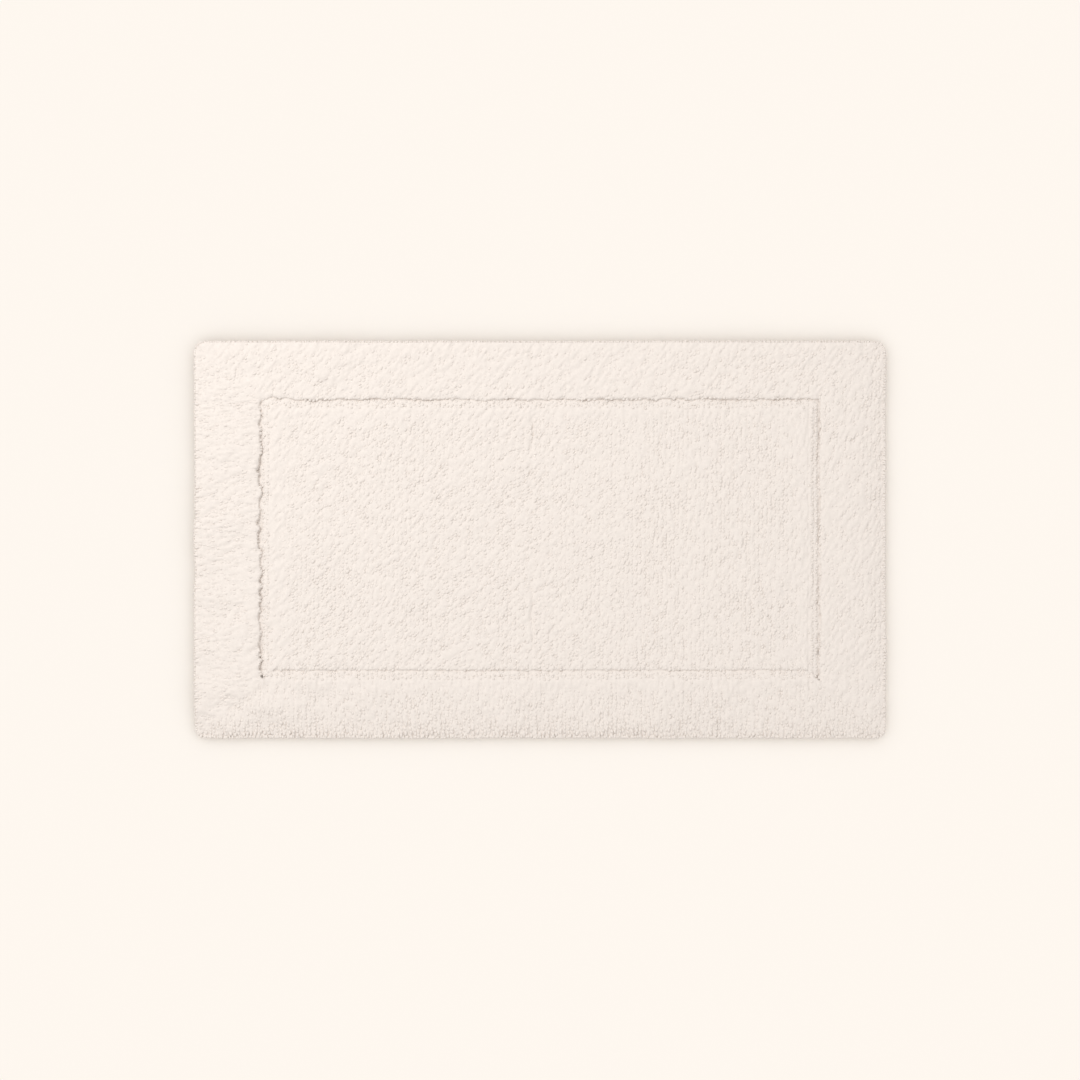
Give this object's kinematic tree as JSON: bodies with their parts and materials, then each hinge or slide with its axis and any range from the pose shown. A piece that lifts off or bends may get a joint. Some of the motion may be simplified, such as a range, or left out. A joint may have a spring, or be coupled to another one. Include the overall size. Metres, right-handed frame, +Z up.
{
  "type": "bath mat",
  "caption": "Rectangular cut-pile bath mat with a sunk frame line between a wide border and the centre field, on a latex-coated backing with a taped, stitched hem.",
  "frame": {"origin": "centre of the underside, on the surface that the mat lies on", "axes": "+X along the long side, +Y along the short side, +Z up out of the pile"},
  "size_m": [1.194, 0.686, 0.022],
  "materials": {
    "pile_yarn": "soft matt cut-pile yarn, warm off-white",
    "channel_yarn": "short matt pile, warm off-white",
    "backing_cloth": "plain-woven natural canvas",
    "latex": "dull foamed latex over the back stitches",
    "hem_tape": "herringbone-woven cotton tape",
    "thread": "spun sewing thread",
    "label_cloth": "blank satin-woven label"
  },
  "bodies": {
    "root": {"center_pile": "pile_yarn", "border_pile_front": "pile_yarn", "border_pile_back": "pile_yarn", "border_pile_left": "pile_yarn", "border_pile_right": "pile_yarn", "channel_pile_front": "channel_yarn", "channel_pile_back": "channel_yarn", "channel_pile_left": "channel_yarn", "channel_pile_right": "channel_yarn", "primary_backing": "backing_cloth", "latex_coat": "latex", "hem_tape_front": "hem_tape", "hem_tape_back": "hem_tape", "hem_tape_left": "hem_tape", "hem_tape_right": "hem_tape", "hem_thread_front": "thread", "hem_thread_back": "thread", "hem_thread_left": "thread", "hem_thread_right": "thread", "care_label": "label_cloth", "label_stitches": "thread"}
  },
  "joints": []
}
